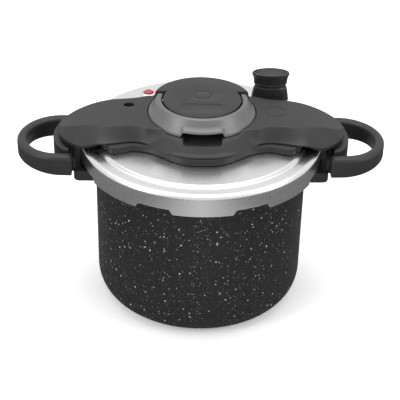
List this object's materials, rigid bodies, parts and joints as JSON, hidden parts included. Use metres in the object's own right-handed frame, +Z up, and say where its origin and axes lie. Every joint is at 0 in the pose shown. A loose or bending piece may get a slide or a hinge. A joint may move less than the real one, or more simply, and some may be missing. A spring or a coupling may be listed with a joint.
{
  "type": "pressure cooker",
  "caption": "Stovetop pressure cooker with a speckled dark pot, folding side handles, bayonet steel lid, black bridge, folding centre grip, valve and pressure indicator.",
  "frame": {"origin": "centre of the base disc's underside, on the surface it stands on, on the pot's axis", "axes": "+X through the right side handle, -Y the front with the grip bow, +Z up"},
  "size_m": [0.3912, 0.258, 0.2289],
  "materials": {
    "stone_coating": "speckled stone-look non-stick coating on aluminium",
    "bright_steel": "polished stainless steel, satin skirt",
    "spring_steel": "plain steel",
    "black_plastic": "fine matte moulded thermoset",
    "satin_grey": "satin metallic-grey painted moulding",
    "red_plastic": "red moulding",
    "silicone": "soft grey silicone",
    "brass": "turned brass"
  },
  "bodies": {
    "pot": {"pot_body": "stone_coating", "base_disc": "bright_steel", "bracket_left": "black_plastic", "bracket_right": "black_plastic", "bracket_stud_left": "spring_steel", "bracket_stud_right": "spring_steel", "bracket_screw_left": "spring_steel", "bracket_screw_right": "spring_steel", "handle_pin_left": "spring_steel", "handle_pin_right": "spring_steel"},
    "handle_left": {"handle_loop_left": "black_plastic"},
    "handle_right": {"handle_loop_right": "black_plastic"},
    "gasket": {"lid_gasket": "silicone"},
    "lid": {"lid_shell": "bright_steel", "bridge_base": "black_plastic", "bridge_cover": "black_plastic", "bridge_screw_1": "spring_steel", "bridge_screw_2": "spring_steel", "bridge_screw_3": "spring_steel", "bridge_screw_4": "spring_steel", "cover_screw_1": "spring_steel", "cover_screw_2": "spring_steel", "cover_screw_3": "spring_steel", "cover_screw_4": "spring_steel", "hub_cap": "black_plastic", "valve_pipe": "bright_steel", "valve_nut": "bright_steel", "indicator_bush": "bright_steel", "indicator_nut": "bright_steel", "lock_pin_bush": "bright_steel", "safety_valve_body": "brass", "safety_valve_nut": "brass", "safety_spring": "spring_steel", "lock_spring_left": "spring_steel", "lock_spring_right": "spring_steel"},
    "grip": {"grip_handle": "satin_grey", "grip_axle": "spring_steel", "lock_cam": "black_plastic"},
    "arm_left": {"lock_arm_left": "spring_steel"},
    "arm_right": {"lock_arm_right": "spring_steel"},
    "valve": {"valve_skirt": "black_plastic", "valve_weight": "spring_steel"},
    "selector": {"valve_selector": "black_plastic", "valve_disc": "black_plastic"},
    "indicator": {"indicator_pin": "red_plastic"},
    "lock_pin": {"lock_pin": "bright_steel"},
    "safety": {"safety_plunger": "bright_steel"}
  },
  "joints": [
    {"name": "handle_fold_left", "type": "hinge", "parent": "pot", "child": "handle_left", "pos_m": [-0.1465, 0, 0.172], "axis": [0, -1, 0], "range_deg": [0, 90]},
    {"name": "handle_fold_right", "type": "hinge", "parent": "pot", "child": "handle_right", "pos_m": [0.1465, 0, 0.172], "axis": [0, 1, 0], "range_deg": [0, 90]},
    {"name": "lid_lift", "type": "slide", "parent": "pot", "child": "gasket", "axis": [0, 0, 1], "range_m": [0, 0.18]},
    {"name": "lid_turn", "type": "hinge", "parent": "gasket", "child": "lid", "pos_m": [0, 0, 0.18], "axis": [0, 0, 1], "range_deg": [0, 22.5]},
    {"name": "grip_fold", "type": "hinge", "parent": "lid", "child": "grip", "pos_m": [0, 0.009, 0.2201], "axis": [-1, 0, 0], "range_deg": [0, 90]},
    {"name": "lock_slide_left", "type": "slide", "parent": "lid", "child": "arm_left", "axis": [1, 0, 0], "range_m": [0, 0.007], "deforming": ["lock_spring_left"]},
    {"name": "lock_slide_right", "type": "slide", "parent": "lid", "child": "arm_right", "axis": [-1, 0, 0], "range_m": [0, 0.007], "deforming": ["lock_spring_right"]},
    {"name": "valve_lift", "type": "slide", "parent": "lid", "child": "valve", "axis": [0, 0, 1], "range_m": [0, 0.034]},
    {"name": "valve_turn", "type": "hinge", "parent": "valve", "child": "selector", "pos_m": [0.0765, 0.066, 0.22], "axis": [0, 0, 1], "range_deg": [0, 160]},
    {"name": "indicator_rise", "type": "slide", "parent": "lid", "child": "indicator", "axis": [0, 0, 1], "range_m": [0, 0.004]},
    {"name": "lock_pin_rise", "type": "slide", "parent": "lid", "child": "lock_pin", "axis": [0, 0, 1], "range_m": [0, 0.003]},
    {"name": "safety_rise", "type": "slide", "parent": "lid", "child": "safety", "axis": [0, 0, 1], "range_m": [0, 0.0015], "stiffness_N_per_m": 1500, "springref_m": -0.002, "deforming": ["safety_spring"]}
  ],
  "couplings": [
    {"joint": "lock_slide_left", "follows": "grip_fold", "m_per_rad": 0.004456},
    {"joint": "lock_slide_right", "follows": "grip_fold", "m_per_rad": 0.004456}
  ]
}
